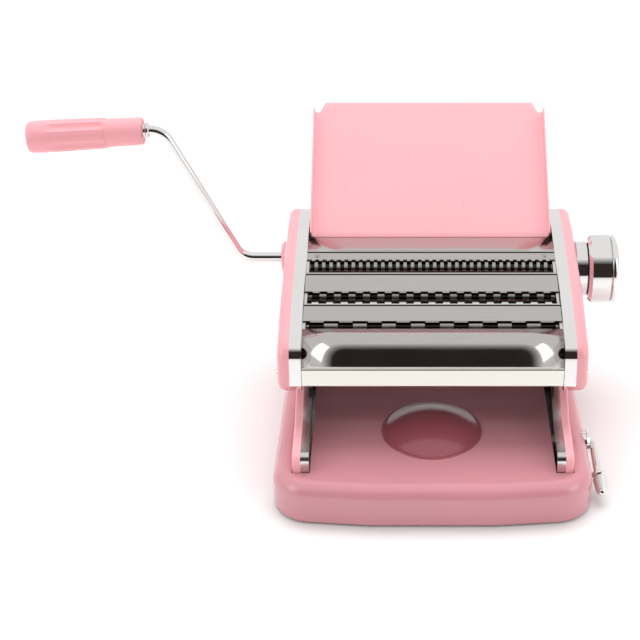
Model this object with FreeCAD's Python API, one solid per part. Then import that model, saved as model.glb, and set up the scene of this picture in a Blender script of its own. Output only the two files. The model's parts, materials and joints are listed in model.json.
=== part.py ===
import FreeCAD, Part
import math
import os

# Pasta roller machine with three fixed cutters. Millimetres, +Z up, +X towards the thickness knob,
# +Y towards the back, origin on the underside of the base at its centre.

V = FreeCAD.Vector

# ---- driving dimensions ----
FIT = 0.06                    # radial running clearance of shafts and guides
GAP = 0.4                     # free clearance between separate bodies

BASE_HEIGHT = 27.0
BASE_BOTTOM = 2.0
BASE_WALL = 2.5
BASE_EDGE_RADIUS = 9.0
BASE_CENTRE_Y = -31.0         # dome, suction cup and lever shaft
DOME_RADIUS = 30.0
DOME_RISE = 9.0

PLATE_INNER = 78.7            # side plates, measured from the middle plane
PLATE_OUTER = 80.7
LEG_RIM_INNER = 75.5
LEG_COVER_OUTER = 85.7
TRIM_OUTER = 88.0
CAP_OUTER = 95.5
CAP_WALL = 2.2
TRIM_WALL = 1.8
ROLLER_HALF = 78.3

DECK_MID_Y = 9.5
DECK_MID_Z = 102.3
DECK_ANGLE = math.radians(11.7)
DECK_SHEET = 1.0
TOP_PLATE_Z = 110.3
TOP_PLATE_BACK = 71.5
REAR_SHEET_Y = 113.4          # inner face of the rear cover

CUTTER_RADIUS = 7.0
CUTTER_CORE = 5.6
CUTTER_CENTRES = 13.0
CUTTER_STATION = 28.08
CUTTER_DEPTH = 8.6
CUTTER_SHAFT = 3.5
CUTTERS = {"fine": (1, 4.8), "medium": (0, 9.2), "wide": (-1, 18.0)}   # station, ring pitch

ROLLER_RADIUS = 14.0
ROLLER_GAP = 0.36
GAP_TRAVEL = 2.5
KNOB_Y = 67.0
KNOB_Z = 89.5
SETTINGS = 7                  # thickness settings over half a turn of the knob
INDEX_RADIUS = 14.5
NIP_ANGLE = math.radians(13.25)

FRONT_JOURNAL = 9.0
FRONT_BORE = 6.0
REGULATOR_SHAFT = 4.0
CAM_RADIUS = 6.0
REAR_JOURNAL = 7.0
BLOCK_HALF = 11.0             # sliding bearing block, measured from its roller's axis
BLOCK_TOP = 12.0
BLOCK_FOOT = -20.5
HEX_KEY = 3.5                 # circumradius of the crank's hexagonal end
CRANK_ARM = 94.0
CRANK_ROD = 3.5

TRAY_ANGLE = math.radians(33.4)
TRAY_LOW_Y = 78.0
TRAY_LOW_Z = 107.5
TRAY_LENGTH = 108.5
TRAY_SIDE_END = 99.0
TRAY_CORNER_CUT = 3.6
TRAY_HALF = 79.0
TRAY_SHEET = 1.5
TRAY_FLANGE = 6.0

LEVER_Z = 18.0
LEVER_SHAFT = 4.0
LEVER_ROD = 2.5               # bent rod of the lever, set into the hollow end of its shaft
LEVER_SHAFT_END = 98.4
LEVER_ROD_START = 94.0
STEM_LIFT = 2.6
LEVER_CAM = 5.5

# Outer outline of the head as (y, z, corner radius), followed by the trims and the side caps.
HEAD = [(-42.5, 61.0, 7.0), (-39.0, 90.5, 11.0), (-26.5, 95.4, 16.0), (6.0, 105.4, 80.0),
        (84.0, 115.3, 50.0), (117.0, 115.3, 16.0), (117.0, 59.0, 11.0)]
# Outline of one leg above and inside the base.
LEG = [(-76.0, 3.5, 0.0), (-76.0, 38.5, 5.0), (-42.0, 41.0, 22.0), (-20.0, 53.0, 14.0), (-9.0, 70.0, 0.0),
       (88.0, 70.0, 0.0), (70.0, 46.0, 26.0), (76.0, 3.5, 0.0)]
BASE_OUTLINE = [(-98.6, -90.0, 25.0), (-40.0, -95.6, 150.0), (40.0, -95.6, 150.0), (98.6, -90.0, 25.0),
                (96.0, 95.0, 25.0), (-96.0, 95.0, 25.0)]

SCREW_RADIUS = 1.5
TIE_ROD = 4.0
# Tie rods between the side plates: (y, z).
HEAD_RODS = [(-32.0, 71.0), (108.5, 65.5)]
LEG_ROD = (60.0, 56.0)
BASE_SCREWS = [(-88.0, -70.0), (88.0, -70.0), (-88.0, 72.0), (88.0, 72.0)]
LEG_SCREWS = [(-71.0, -60.0), (71.0, -60.0), (-71.0, 58.0), (71.0, 58.0)]

OPEN_Y = -math.cos(NIP_ANGLE)     # direction in which the adjustable roller opens the gap
OPEN_Z = math.sin(NIP_ANGLE)
UP_Y = math.sin(NIP_ANGLE)        # at right angles to it
UP_Z = math.cos(NIP_ANGLE)
CAM_THROW = GAP_TRAVEL / 2
ROLLER_CENTRES = 2 * ROLLER_RADIUS + ROLLER_GAP
FRONT_Y = KNOB_Y - CAM_THROW * OPEN_Y
FRONT_Z = KNOB_Z - CAM_THROW * OPEN_Z
REAR_Y = FRONT_Y - ROLLER_CENTRES * OPEN_Y
REAR_Z = FRONT_Z - ROLLER_CENTRES * OPEN_Z


# ---- helpers ----
def rounded_wire(corners, to_space):
    """Closed wire through corners (u, v, radius); to_space turns u, v into a point."""
    count = len(corners)
    points = [to_space(u, v) for u, v, _ in corners]
    starts, ends, middles = [], [], []
    for i in range(count):
        corner = points[i]
        before = (points[i - 1] - corner).normalize()
        after = (points[(i + 1) % count] - corner).normalize()
        radius = corners[i][2]
        half = before.getAngle(after) / 2
        reach = radius / math.tan(half) if radius else 0.0
        starts.append(corner + before * reach)
        ends.append(corner + after * reach)
        middle = corner
        if radius:
            bisector = before + after
            middle = corner + bisector.normalize() * (radius / math.sin(half) - radius)
        middles.append(middle)
    edges = []
    for i in range(count):
        if corners[i][2]:
            edges.append(Part.Arc(starts[i], middles[i], ends[i]).toShape())
        following = starts[(i + 1) % count]
        if (following - ends[i]).Length > 1e-6:
            edges.append(Part.LineSegment(ends[i], following).toShape())
    return Part.Wire(edges)


def prism_x(corners, x_low, x_high, inset=0.0):
    face = Part.Face(rounded_wire(corners, lambda y, z: V(x_low, y, z)))
    if inset:
        face = Part.Face(face.makeOffset2D(-inset).OuterWire)
    return face.extrude(V(x_high - x_low, 0, 0))


def prism_z(corners, z_low, z_high, inset=0.0):
    face = Part.Face(rounded_wire(corners, lambda x, y: V(x, y, z_low)))
    if inset:
        face = Part.Face(face.makeOffset2D(-inset).OuterWire)
    return face.extrude(V(0, 0, z_high - z_low))


def sharp(*points):
    return [(u, v, 0.0) for u, v in points]


def box(x0, x1, y0, y1, z0, z1):
    return Part.makeBox(x1 - x0, y1 - y0, z1 - z0, V(x0, y0, z0))


def cylinder_x(radius, x_low, x_high, y, z):
    return Part.makeCylinder(radius, x_high - x_low, V(x_low, y, z), V(1, 0, 0))


def cylinder_z(radius, z_low, z_high, x, y):
    return Part.makeCylinder(radius, z_high - z_low, V(x, y, z_low))


def revolved_x(profile, y, z):
    """Turned piece about the X direction through (y, z), from its outline (x, radius)."""
    wire = Part.makePolygon([V(x, y, z + radius) for x, radius in profile + profile[:1]])
    return Part.Face(wire).revolve(V(0, y, z), V(1, 0, 0), 360)


def revolved_z(profile, x, y):
    wire = Part.makePolygon([V(x + radius, y, z) for radius, z in profile + profile[:1]])
    return Part.Face(wire).revolve(V(x, y, 0), V(0, 0, 1), 360)


def hexagon_x(radius, x_low, x_high, y, z):
    corners = [(y + radius * math.cos(math.pi / 3 * i), z + radius * math.sin(math.pi / 3 * i), 0.0)
               for i in range(6)]
    return prism_x(corners, x_low, x_high)


def mirrored(shape):
    return shape.mirror(V(0, 0, 0), V(1, 0, 0))


def deck_point(along, normal):
    """Point (y, z) of the sloping deck: along runs uphill to the back, normal out of the surface."""
    y = DECK_MID_Y + along * math.cos(DECK_ANGLE) - normal * math.sin(DECK_ANGLE)
    z = DECK_MID_Z + along * math.sin(DECK_ANGLE) + normal * math.cos(DECK_ANGLE)
    return y, z


def deck_at(y, normal=0.0):
    """Point (y, z) of the line parallel to the deck surface at that y."""
    z = DECK_MID_Z + (y - DECK_MID_Y) * math.tan(DECK_ANGLE) + normal / math.cos(DECK_ANGLE)
    return y, z


def deck_block(x_low, x_high, along_low, along_high, normal_low, normal_high):
    corners = [deck_point(along_low, normal_low), deck_point(along_high, normal_low),
               deck_point(along_high, normal_high), deck_point(along_low, normal_high)]
    return prism_x(sharp(*corners), x_low, x_high)


def nip_point(centre_y, centre_z, along, up):
    """Point (y, z) relative to a roller centre, along the opening direction and at right angles to it."""
    return centre_y + along * OPEN_Y + up * UP_Y, centre_z + along * OPEN_Z + up * UP_Z


def nip_block(centre_y, centre_z, x_low, x_high, along_low, along_high, up_low, up_high):
    places = [(along_low, up_low), (along_high, up_low), (along_high, up_high), (along_low, up_high)]
    corners = [nip_point(centre_y, centre_z, along, up) for along, up in places]
    return prism_x(sharp(*corners), x_low, x_high)


def tray_point(along, normal):
    y = TRAY_LOW_Y + along * math.cos(TRAY_ANGLE) - normal * math.sin(TRAY_ANGLE)
    z = TRAY_LOW_Z + along * math.sin(TRAY_ANGLE) + normal * math.cos(TRAY_ANGLE)
    return y, z


def tray_block(x_low, x_high, along_low, along_high, normal_low, normal_high):
    corners = [tray_point(along_low, normal_low), tray_point(along_high, normal_low),
               tray_point(along_high, normal_high), tray_point(along_low, normal_high)]
    return prism_x(sharp(*corners), x_low, x_high)


def gear_x(teeth, root, tip, root_share, tip_share, x_low, x_high, y, z, turn):
    """Spur gear about X; the shares are the tooth's part of a pitch at its root and its tip."""
    pitch = 2 * math.pi / teeth
    corners = []
    for i in range(teeth):
        middle = turn + i * pitch
        for radius, share in ((root, -root_share), (tip, -tip_share), (tip, tip_share), (root, root_share)):
            angle = middle + share * pitch / 2
            corners.append((y + radius * math.cos(angle), z + radius * math.sin(angle), 0.0))
    return prism_x(corners, x_low, x_high)


def rod_along(points, bend, radius):
    """Round bar along straight runs joined by bends of the given radius."""
    edges = []
    start = points[0]
    for i in range(1, len(points) - 1):
        corner = points[i]
        before = (points[i - 1] - corner).normalize()
        after = (points[i + 1] - corner).normalize()
        half = before.getAngle(after) / 2
        reach = bend / math.tan(half)
        bisector = before + after
        middle = corner + bisector.normalize() * (bend / math.sin(half) - bend)
        edges.append(Part.LineSegment(start, corner + before * reach).toShape())
        edges.append(Part.Arc(corner + before * reach, middle, corner + after * reach).toShape())
        start = corner + after * reach
    edges.append(Part.LineSegment(start, points[-1]).toShape())
    profile = Part.Wire(Part.makeCircle(radius, points[0], points[1] - points[0]))
    return Part.Wire(edges).makePipeShell([profile], True, True)


# ---- base ----
def base_shell():
    shell = prism_z(BASE_OUTLINE, BASE_BOTTOM, BASE_HEIGHT)
    top = max(shell.Faces, key=lambda face: face.CenterOfMass.z)
    shell = shell.makeFillet(BASE_EDGE_RADIUS, top.Edges)
    cavity = prism_z(BASE_OUTLINE, BASE_BOTTOM, BASE_HEIGHT - BASE_WALL, inset=BASE_WALL)
    ceiling = max(cavity.Faces, key=lambda face: face.CenterOfMass.z)
    cavity = cavity.makeFillet(BASE_EDGE_RADIUS - BASE_WALL, ceiling.Edges)
    sphere = (DOME_RADIUS ** 2 + DOME_RISE ** 2) / (2 * DOME_RISE)
    centre = V(0, BASE_CENTRE_Y, BASE_HEIGHT + DOME_RISE - sphere)
    above = cylinder_z(DOME_RADIUS, BASE_HEIGHT - BASE_WALL / 2, BASE_HEIGHT + DOME_RISE, 0, BASE_CENTRE_Y)
    dome = Part.makeSphere(sphere, centre).common(above)
    hollow = Part.makeSphere(sphere - BASE_WALL, centre)
    inside = cylinder_z(DOME_RADIUS, BASE_BOTTOM, BASE_HEIGHT + DOME_RISE, 0, BASE_CENTRE_Y)
    bodies = shell.fuse(dome).cut(cavity).cut(hollow.common(inside))
    for x, y in BASE_SCREWS:
        boss = cylinder_z(4.0, BASE_BOTTOM + 1.5, BASE_HEIGHT - BASE_WALL, x, y)
        bodies = bodies.fuse(boss).cut(cylinder_z(SCREW_RADIUS, BASE_BOTTOM, 14.0, x, y))
    for side in (-1, 1):
        low, high = sorted((side * (LEG_RIM_INNER - GAP), side * (LEG_COVER_OUTER + GAP)))
        bodies = bodies.cut(box(low, high, -76.0 - GAP, 76.0 + GAP, BASE_HEIGHT - 6.0, BASE_HEIGHT + 1.0))
    return bodies.cut(cylinder_x(6.0, 90.0, 100.0, BASE_CENTRE_Y, LEVER_Z)).removeSplitter()


def base_plate():
    plate = prism_z(BASE_OUTLINE, BASE_BOTTOM, BASE_BOTTOM + 1.5, inset=BASE_WALL + 0.3)
    dish = cylinder_z(28.5, BASE_BOTTOM, 7.0, 0, BASE_CENTRE_Y)
    plate = plate.fuse(dish).cut(cylinder_z(27.0, BASE_BOTTOM - 1.0, 5.5, 0, BASE_CENTRE_Y))
    plate = plate.cut(cylinder_z(4.0 + FIT, BASE_BOTTOM, 8.0, 0, BASE_CENTRE_Y))
    for x, y in BASE_SCREWS + LEG_SCREWS:
        plate = plate.cut(cylinder_z(SCREW_RADIUS, 1.0, 5.0, x, y))
    return plate


def base_gasket():
    ring = prism_z(BASE_OUTLINE, 0.0, BASE_BOTTOM, inset=3.0)
    ring = ring.cut(prism_z(BASE_OUTLINE, -1.0, 3.0, inset=13.0))
    pad = ring.fuse(box(-87.0, 87.0, -2.5, 13.0, 0.0, BASE_BOTTOM))
    for x, y in BASE_SCREWS:
        pad = pad.cut(cylinder_z(3.8, -1.0, 3.0, x, y))
    return pad.removeSplitter()


def base_screws():
    """Screws from below: the outer four hold the shell, the inner four the feet of the side plates."""
    screws = []
    for places, top in ((BASE_SCREWS, 13.0), (LEG_SCREWS, 9.0)):
        profile = [(0, 0.8), (2.6, 0.8), (3.0, 1.3), (3.0, 2.0), (SCREW_RADIUS, 2.0),
                   (SCREW_RADIUS, top), (0, top)]
        screws += [revolved_z(profile, x, y) for x, y in places]
    return screws


def leg_nuts():
    nuts = []
    for x, y in LEG_SCREWS:
        nuts.append(cylinder_z(2.4, 5.0, 7.5, x, y).cut(cylinder_z(SCREW_RADIUS, 4.0, 8.0, x, y)))
    return nuts


# ---- suction lock ----
def suction_cup():
    profile = [(0, 0.4), (24.0, 0.4), (26.2, 0.6), (26.2, 1.1), (20.0, 2.4), (4.0, 2.4), (4.0, 1.2), (0, 1.2)]
    return revolved_z(profile, 0, BASE_CENTRE_Y)


def suction_stem():
    middle = LEVER_Z - STEM_LIFT / 2
    half_high = LEVER_CAM + 0.6
    half_wide = LEVER_CAM + STEM_LIFT / 2 + 0.6
    wall = 2.0
    y = BASE_CENTRE_Y
    loop = box(-4.0, 4.0, y - half_wide - wall, y + half_wide + wall, middle - half_high - wall,
               middle + half_high + wall)
    window = box(-5.0, 5.0, y - half_wide, y + half_wide, middle - half_high, middle + half_high)
    return loop.fuse(cylinder_z(4.0, 1.2, middle - half_high - wall / 2, 0, y)).cut(window).removeSplitter()


def lever_shaft():
    """Cross shaft with the cam that lifts the stem; the lever's rod is set into its right end."""
    shaft = cylinder_x(LEVER_SHAFT, -9.0, LEVER_SHAFT_END, BASE_CENTRE_Y, LEVER_Z)
    cam = cylinder_x(LEVER_CAM, -3.6, 3.6, BASE_CENTRE_Y, LEVER_Z - STEM_LIFT / 2)
    socket = cylinder_x(LEVER_ROD, LEVER_ROD_START, LEVER_SHAFT_END + 1, BASE_CENTRE_Y, LEVER_Z)
    return shaft.fuse(cam).cut(socket).removeSplitter()


def lever_bush():
    profile = [(88.0, LEVER_SHAFT + FIT), (88.0, 6.0), (98.4, 6.0), (98.4, 7.6), (100.0, 7.0),
               (100.0, LEVER_SHAFT + FIT)]
    return revolved_x(profile, BASE_CENTRE_Y, LEVER_Z)


def lever_bearer():
    """Bracket that carries the inner end of the lever shaft on the base plate."""
    block = box(-8.5, -5.2, BASE_CENTRE_Y - 8.0, BASE_CENTRE_Y + 8.0, 7.0, LEVER_Z + 6.5)
    foot = box(-16.0, -5.2, BASE_CENTRE_Y - 8.0, BASE_CENTRE_Y + 8.0, 7.0, 8.5)
    bore = cylinder_x(LEVER_SHAFT + FIT, -20.0, 0.0, BASE_CENTRE_Y, LEVER_Z)
    return block.fuse(foot).cut(bore).removeSplitter()


LEVER_KNEE = V(103.0, -54.0, 15.0)
LEVER_TIP = V(105.6, -75.0, 6.8)
LEVER_ROD_REACH = 12.0        # how far the rod runs past the knee, into the grip


def lever_arm():
    start = V(LEVER_ROD_START, BASE_CENTRE_Y, LEVER_Z)
    elbow = V(102.6, BASE_CENTRE_Y, LEVER_Z)
    toward_tip = (LEVER_TIP - LEVER_KNEE).normalize()
    return rod_along([start, elbow, LEVER_KNEE, LEVER_KNEE + toward_tip * LEVER_ROD_REACH], 4.0, LEVER_ROD)


def along_lever(profile):
    """Turned piece about the lever's outer run, from (distance past the knee, radius)."""
    direction = (LEVER_TIP - LEVER_KNEE).normalize()
    piece = revolved_x(profile, 0, 0)
    turn = FreeCAD.Rotation(V(1, 0, 0), direction)
    return piece.transformGeometry(FreeCAD.Placement(LEVER_KNEE, turn).toMatrix())


def lever_collar():
    return along_lever([(4.0, LEVER_ROD), (4.0, 3.6), (5.0, 4.2), (6.6, 4.2), (7.4, 3.4), (7.4, LEVER_ROD)])


def lever_grip():
    tip = (LEVER_TIP - LEVER_KNEE).Length
    return along_lever([(7.4, LEVER_ROD), (7.4, 3.2), (8.4, 4.0), (tip - 3.0, 3.3), (tip - 0.8, 2.4),
                        (tip, 1.0), (tip, 0.0), (LEVER_ROD_REACH, 0.0), (LEVER_ROD_REACH, LEVER_ROD)])


# ---- frame ----
def plate_outline():
    """Head part of a side plate, up to the underside of the deck and the top plate."""
    deck_front = deck_at(-27.0, -DECK_SHEET)
    deck_back = deck_at(51.5, -DECK_SHEET)
    return [(-36.4, 63.5, 2.0), (-36.4, 86.5, 8.0), (*deck_front, 0.0), (*deck_back, 0.0),
            (53.0, TOP_PLATE_Z, 0.0), (TOP_PLATE_BACK, TOP_PLATE_Z, 0.0), (TOP_PLATE_BACK, 103.0, 2.0),
            (85.0, 103.0, 2.0), (88.0, 109.0, 3.0), (REAR_SHEET_Y, 109.0, 12.0), (REAR_SHEET_Y, 62.0, 6.0)]


def bearing_window(x_low, x_high):
    """Guide window for one bearing block, long enough for the roller's travel."""
    return nip_block(FRONT_Y, FRONT_Z, x_low, x_high, -BLOCK_HALF - GAP, BLOCK_HALF + GAP_TRAVEL + GAP,
                     BLOCK_FOOT - FIT, BLOCK_TOP + FIT)


def cutter_axes(name):
    station, _ = CUTTERS[name]
    middle = station * CUTTER_STATION
    return [deck_point(middle + side * CUTTER_CENTRES / 2, -CUTTER_DEPTH) for side in (-1, 1)]


def side_plate_right():
    plate = prism_x(plate_outline(), PLATE_INNER, PLATE_OUTER)
    leg = prism_x(LEG, LEG_RIM_INNER, PLATE_OUTER)
    leg = leg.cut(prism_x(LEG, LEG_RIM_INNER - 1, PLATE_INNER, inset=1.5))
    above = box(70.0, PLATE_INNER, -100.0, 100.0, 60.0, 80.0)
    plate = plate.fuse(leg.cut(above))
    for x, y in LEG_SCREWS[1::2]:
        plate = plate.fuse(box(x - 5.0, PLATE_INNER, y - 6.0, y + 6.0, 3.5, 5.0))
    plate = plate.cut(cylinder_x(LEVER_SHAFT + 0.6, LEG_RIM_INNER - 1, 82.0, BASE_CENTRE_Y, LEVER_Z))
    plate = plate.cut(bearing_window(PLATE_INNER - 1, PLATE_OUTER + 1))
    for name in CUTTERS:
        for y, z in cutter_axes(name):
            plate = plate.cut(cylinder_x(5.0, 77.0, 82.0, y, z))
    plate = plate.cut(cylinder_x(REAR_JOURNAL + 2.0, 77.0, 82.0, REAR_Y, REAR_Z))
    for y, z in HEAD_RODS + [LEG_ROD]:
        plate = plate.cut(cylinder_x(SCREW_RADIUS, 77.0, 82.0, y, z))
    for x, y in LEG_SCREWS[1::2]:
        plate = plate.cut(cylinder_z(SCREW_RADIUS, 3.0, 6.0, x, y))
    return plate.removeSplitter()


def tie_rods():
    rods = []
    for y, z in HEAD_RODS + [LEG_ROD]:
        rod = cylinder_x(TIE_ROD, -PLATE_INNER, PLATE_INNER, y, z)
        for side in (-1, 1):
            low, high = sorted((side * (PLATE_INNER - 8.0), side * PLATE_INNER))
            rod = rod.cut(cylinder_x(SCREW_RADIUS, low, high, y, z))
        rods.append(rod)
    return rods


def screw_x(y, z, seat, side):
    """Pan-head screw along X whose shank ends in a tie rod."""
    inner = PLATE_INNER - 6.0
    profile = [(inner, 0), (inner, SCREW_RADIUS), (seat, SCREW_RADIUS), (seat, 3.2), (seat + 0.9, 2.9),
               (seat + 1.5, 1.8), (seat + 1.6, 0)]
    screw = revolved_x(profile, y, z).cut(box(seat + 0.8, seat + 2.0, y - 2.2, y + 2.2, z - 0.4, z + 0.4))
    return screw if side > 0 else mirrored(screw)


def cover_screws():
    """Screws of the side caps and of the leg covers, all into the ends of the tie rods."""
    places = [(*rod, CAP_OUTER) for rod in HEAD_RODS] + [(*LEG_ROD, LEG_COVER_OUTER)]
    return [screw_x(*place, side) for place in places for side in (-1, 1)]


def on_leg_rim(extent):
    """True for the outer edges of a leg cover, apart from the straight ones inside the base and the head."""
    outer = abs(extent.XMin - LEG_COVER_OUTER) < 0.01
    between = extent.ZMax > 20.0 and 3.6 < extent.ZMin < 69.0
    return outer and (between or extent.ZLength > 20.0)


def leg_cover_right():
    cover = prism_x(LEG, PLATE_OUTER, LEG_COVER_OUTER)
    cover = cover.makeFillet(1.4, [edge for edge in cover.Edges if on_leg_rim(edge.BoundBox)])
    keep = box(70.0, 100.0, -100.0, 100.0, BASE_HEIGHT - 4.5, 58.0)
    hollow = prism_x(LEG, PLATE_OUTER - 1.0, LEG_COVER_OUTER - 1.8, inset=1.8)
    boss = cylinder_x(4.5, PLATE_OUTER, LEG_COVER_OUTER - 0.5, *LEG_ROD)
    cover = cover.cut(hollow).fuse(boss).common(keep)
    return cover.cut(cylinder_x(SCREW_RADIUS, 70.0, 90.0, *LEG_ROD)).removeSplitter()


def side_trim_right():
    ring = prism_x(HEAD, PLATE_OUTER, TRIM_OUTER)
    return ring.cut(prism_x(HEAD, PLATE_OUTER - 1, TRIM_OUTER + 1, inset=TRIM_WALL))


def plain_cap():
    cap = prism_x(HEAD, TRIM_OUTER, CAP_OUTER)
    outer = max(cap.Faces, key=lambda face: face.CenterOfMass.x)
    cap = cap.makeFillet(5.0, outer.Edges)
    cap = cap.cut(prism_x(HEAD, TRIM_OUTER - 1, CAP_OUTER - CAP_WALL, inset=TRIM_WALL))
    for y, z in HEAD_RODS:
        boss = cylinder_x(3.2, PLATE_OUTER, CAP_OUTER - 1.0, y, z)
        cap = cap.fuse(boss).cut(cylinder_x(SCREW_RADIUS, 78.0, 100.0, y, z))
    return cap


def side_cap_right():
    cap = plain_cap().fuse(cylinder_x(12.0, CAP_OUTER - 4.0, CAP_OUTER + 2.0, KNOB_Y, KNOB_Z))
    return cap.cut(cylinder_x(REGULATOR_SHAFT + FIT, 80.0, 110.0, KNOB_Y, KNOB_Z)).removeSplitter()


def side_cap_left():
    cap = mirrored(plain_cap())
    boss = revolved_x([(-CAP_OUTER + CAP_WALL, 0), (-CAP_OUTER + CAP_WALL, 12.5), (-CAP_OUTER, 12.5),
                       (-99.5, 11.0), (-101.0, 9.6), (-101.0, 0)], REAR_Y, REAR_Z)
    cap = cap.fuse(boss).cut(cylinder_x(REAR_JOURNAL + GAP, -102.0, -85.0, REAR_Y, REAR_Z))
    for name in CUTTERS:
        y, z = cutter_axes(name)[1]
        socket = cylinder_x(7.0, -CAP_OUTER, -91.0, y, z)
        cap = cap.fuse(socket).cut(cylinder_x(5.5, -97.0, -90.0, y, z))
    return cap.removeSplitter()


# ---- deck ----
def deck_sheet(y_front, y_back):
    """Sheet strip of the deck with a small hemmed lip along its back edge."""
    front = deck_at(y_front)
    back = deck_at(y_back)
    lower_back = deck_at(y_back, -DECK_SHEET)
    lower_front = deck_at(y_front, -DECK_SHEET)
    hem_back = deck_at(y_back, 0.6)
    hem_front = deck_at(y_back - 1.2, 0.6)
    hem_foot = deck_at(y_back - 1.6)
    return prism_x(sharp(lower_front, front, hem_foot, hem_front, hem_back, back, lower_back),
                   -PLATE_OUTER + 0.3, PLATE_OUTER - 0.3)


SLOT_EDGES = {"fine": (30.0, 43.5), "medium": (1.0, 13.0), "wide": (-21.0, -14.0)}


def deck_strip_top():
    return deck_sheet(SLOT_EDGES["fine"][1], 51.5)


def deck_strip_middle():
    return deck_sheet(SLOT_EDGES["medium"][1], SLOT_EDGES["fine"][0])


def deck_strip_lower():
    return deck_sheet(SLOT_EDGES["wide"][1], SLOT_EDGES["medium"][0])


def top_plate():
    back = TOP_PLATE_BACK
    corners = [(51.7, TOP_PLATE_Z - 0.3, 0.0), (51.7, TOP_PLATE_Z + 1.5, 0.8), (back, TOP_PLATE_Z + 1.5, 1.2),
               (back, 105.0, 0.0), (back - 1.1, 105.0, 0.0), (back - 1.1, TOP_PLATE_Z, 0.0),
               (52.6, TOP_PLATE_Z, 0.0), (52.6, TOP_PLATE_Z - 0.3, 0.0)]
    sheet = prism_x(corners, -PLATE_INNER + 0.3, PLATE_INNER - 0.3)
    wings = prism_x(sharp((52.6, TOP_PLATE_Z), (52.6, TOP_PLATE_Z + 1.4), (back - 1.1, TOP_PLATE_Z + 1.4),
                          (back - 1.1, TOP_PLATE_Z)), -PLATE_OUTER + 0.3, PLATE_OUTER - 0.3)
    return sheet.fuse(wings).removeSplitter()


def front_cover():
    """Thin strip ahead of the wide cutter, rolled over the nose and down to the lip."""
    start = deck_at(SLOT_EDGES["wide"][0])
    bend = deck_at(-27.0)
    lip_y = -39.3
    nose = Part.Arc(V(0, *bend), V(0, -35.6, 89.6), V(0, lip_y, 80.5)).toShape()
    path = Part.Wire([Part.LineSegment(V(0, *start), V(0, *bend)).toShape(), nose,
                      Part.LineSegment(V(0, lip_y, 80.5), V(0, lip_y, 66.0)).toShape()])
    under = deck_at(SLOT_EDGES["wide"][0], -DECK_SHEET)
    under_bend = deck_at(-26.8, -DECK_SHEET)
    inner = Part.Wire([Part.LineSegment(V(0, lip_y + 1.0, 66.0), V(0, lip_y + 1.0, 80.4)).toShape(),
                       Part.Arc(V(0, lip_y + 1.0, 80.4), V(0, -34.8, 89.0), V(0, *under_bend)).toShape(),
                       Part.LineSegment(V(0, *under_bend), V(0, *under)).toShape()])
    closing = [Part.LineSegment(V(0, *under), V(0, *start)).toShape(),
               Part.LineSegment(V(0, lip_y, 66.0), V(0, lip_y + 1.0, 66.0)).toShape()]
    face = Part.Face(Part.Wire(Part.__sortEdges__(path.Edges + closing + inner.Edges)))
    half = PLATE_OUTER - 0.3
    sheet = face.extrude(V(2 * half, 0, 0))
    sheet.translate(V(-half, 0, 0))
    return sheet


def front_lip():
    """Bright straight bar along the bottom of the front cover."""
    corners = [(-40.9, 66.0, 1.0), (-40.9, 79.0, 1.2), (-39.3, 79.0, 0.0), (-39.3, 66.0, 0.0)]
    return prism_x(corners, -PLATE_OUTER + 0.3, PLATE_OUTER - 0.3)


def rear_cover():
    outer = REAR_SHEET_Y + 1.2
    corners = [(88.0, 109.0, 0.0), (88.0, 110.2, 0.0), (outer, 110.2, 13.2), (outer, 64.0, 0.0),
               (REAR_SHEET_Y, 64.0, 0.0), (REAR_SHEET_Y, 109.0, 12.0)]
    return prism_x(corners, -PLATE_OUTER + 0.3, PLATE_OUTER - 0.3)


def tray_bracket():
    """Bent steel bracket on the rear cover that the tray lies on."""
    half = 60.0
    sheet = 1.2
    rear_top = 110.2
    low = tray_point(15.8, -TRAY_SHEET - GAP - sheet)
    foot = box(-half, half, 90.0, 104.0, rear_top, rear_top + sheet)
    shelf = tray_block(-half, half, 15.8, 34.0, -TRAY_SHEET - GAP - sheet, -TRAY_SHEET - GAP)
    web = box(-half, half, low[0], low[0] + sheet, rear_top, low[1] + 0.9)
    return foot.fuse(shelf).fuse(web).removeSplitter()


# ---- smooth rollers ----
def roller_face():
    """Outline of a smooth roller's working length, with small chamfers at its ends."""
    edge = 0.5
    return [(-ROLLER_HALF, ROLLER_RADIUS - edge), (-ROLLER_HALF + edge, ROLLER_RADIUS),
            (ROLLER_HALF - edge, ROLLER_RADIUS), (ROLLER_HALF, ROLLER_RADIUS - edge)]


def rear_roller():
    profile = [(-99.0, 0), (-99.0, REAR_JOURNAL), (-ROLLER_HALF, REAR_JOURNAL)] + roller_face()
    profile += [(ROLLER_HALF, REAR_JOURNAL), (84.0, REAR_JOURNAL), (84.0, 0)]
    roller = revolved_x(profile, REAR_Y, REAR_Z)
    return roller.cut(hexagon_x(HEX_KEY + 0.1, -100.0, -85.0, REAR_Y, REAR_Z))


def roller_bushes():
    bushes = []
    for side in (-1, 1):
        low, high = sorted((side * PLATE_INNER, side * (PLATE_OUTER + 0.3)))
        ring = cylinder_x(REAR_JOURNAL + 2.0, low, high, REAR_Y, REAR_Z)
        bushes.append(ring.cut(cylinder_x(REAR_JOURNAL + FIT, low, high, REAR_Y, REAR_Z)))
    return bushes


ROLLER_GEAR_X = (-87.0, -81.9)
ROLLER_GEAR = (14, 11.1, 16.8, 0.60, 0.20)      # teeth, root, tip, tooth share at root and tip


def rear_roller_gear():
    teeth, root, tip, root_share, tip_share = ROLLER_GEAR
    toward_front = math.atan2(OPEN_Z, OPEN_Y)
    gear = gear_x(teeth, root, tip, root_share, tip_share, *ROLLER_GEAR_X, REAR_Y, REAR_Z, toward_front)
    return gear.cut(cylinder_x(REAR_JOURNAL, -90.0, -80.0, REAR_Y, REAR_Z))


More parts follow.
